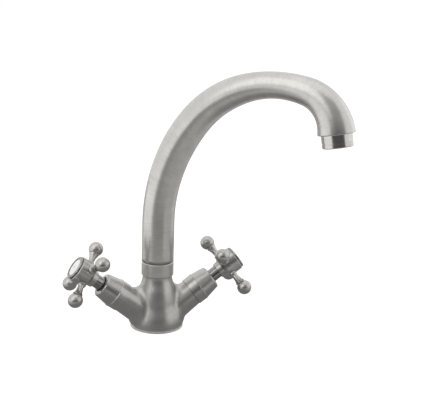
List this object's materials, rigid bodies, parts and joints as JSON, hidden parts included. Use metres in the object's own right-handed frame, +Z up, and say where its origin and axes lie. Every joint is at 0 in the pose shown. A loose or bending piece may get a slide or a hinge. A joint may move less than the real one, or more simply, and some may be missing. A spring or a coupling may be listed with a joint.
{
  "type": "two-handle deck mixer tap",
  "caption": "Deck-mounted basin mixer: bell base, two inclined valve arms with cross handles and a swan-neck spout that swings.",
  "frame": {"origin": "centre of the base's underside, on the deck and on the spout's swivel axis", "axes": "+Z up along the column and the spout's swivel axis, the valve arms lie in the XZ plane, hot on -X and cold on +X, the user stands on the -Y side"},
  "size_m": [0.2208, 0.166, 0.2477],
  "materials": {
    "satin_nickel": "satin brushed nickel over brass",
    "bright_chrome": "polished chrome over brass",
    "bare_brass": "machined brass",
    "stainless": "stainless steel",
    "black_rubber": "moulded rubber",
    "white_plastic": "moulded acetal",
    "grey_plastic": "moulded plastic",
    "index_white": "glossy white index",
    "seal_ceramic": "lapped alumina"
  },
  "bodies": {
    "tap_body": {"mixer_body": "satin_nickel", "base_gasket": "black_rubber", "spout_collar": "satin_nickel", "glide_ring": "white_plastic", "hot_valve_cover": "satin_nickel", "hot_cartridge_body": "bright_chrome", "hot_cartridge_gasket": "black_rubber", "hot_seat_seal": "black_rubber", "hot_fixed_disc": "seal_ceramic", "hot_thrust_washer": "white_plastic", "cold_valve_cover": "satin_nickel", "cold_cartridge_body": "bright_chrome", "cold_cartridge_gasket": "black_rubber", "cold_seat_seal": "black_rubber", "cold_fixed_disc": "seal_ceramic", "cold_thrust_washer": "white_plastic"},
    "spout": {"spout_tube": "satin_nickel", "swivel_nipple": "bare_brass", "nipple_orings": "black_rubber", "snap_ring": "white_plastic", "aerator_housing": "satin_nickel", "aerator_insert": "grey_plastic", "aerator_screen": "stainless", "aerator_washer": "black_rubber"},
    "hot_handle": {"hot_spindle": "bare_brass", "hot_moving_disc": "seal_ceramic", "hot_spindle_orings": "black_rubber", "hot_spindle_clip": "stainless", "hot_handle_hub": "satin_nickel", "hot_handle_arms": "satin_nickel", "hot_handle_screw": "stainless", "hot_index_bezel": "satin_nickel", "hot_index_disc": "index_white"},
    "cold_handle": {"cold_spindle": "bare_brass", "cold_moving_disc": "seal_ceramic", "cold_spindle_orings": "black_rubber", "cold_spindle_clip": "stainless", "cold_handle_hub": "satin_nickel", "cold_handle_arms": "satin_nickel", "cold_handle_screw": "stainless", "cold_index_bezel": "satin_nickel", "cold_index_disc": "index_white"}
  },
  "joints": [
    {"name": "spout_swivel", "type": "hinge", "parent": "tap_body", "child": "spout", "pos_m": [0, 0, 0.05], "axis": [0, 0, 1], "continuous": true},
    {"name": "hot_turn", "type": "hinge", "parent": "tap_body", "child": "hot_handle", "pos_m": [0, 0, 0.00565], "axis": [-0.808, 0, 0.5892], "range_deg": [0, 90]},
    {"name": "cold_turn", "type": "hinge", "parent": "tap_body", "child": "cold_handle", "pos_m": [0, 0, 0.00565], "axis": [0.808, 0, 0.5892], "range_deg": [-90, 0]}
  ]
}
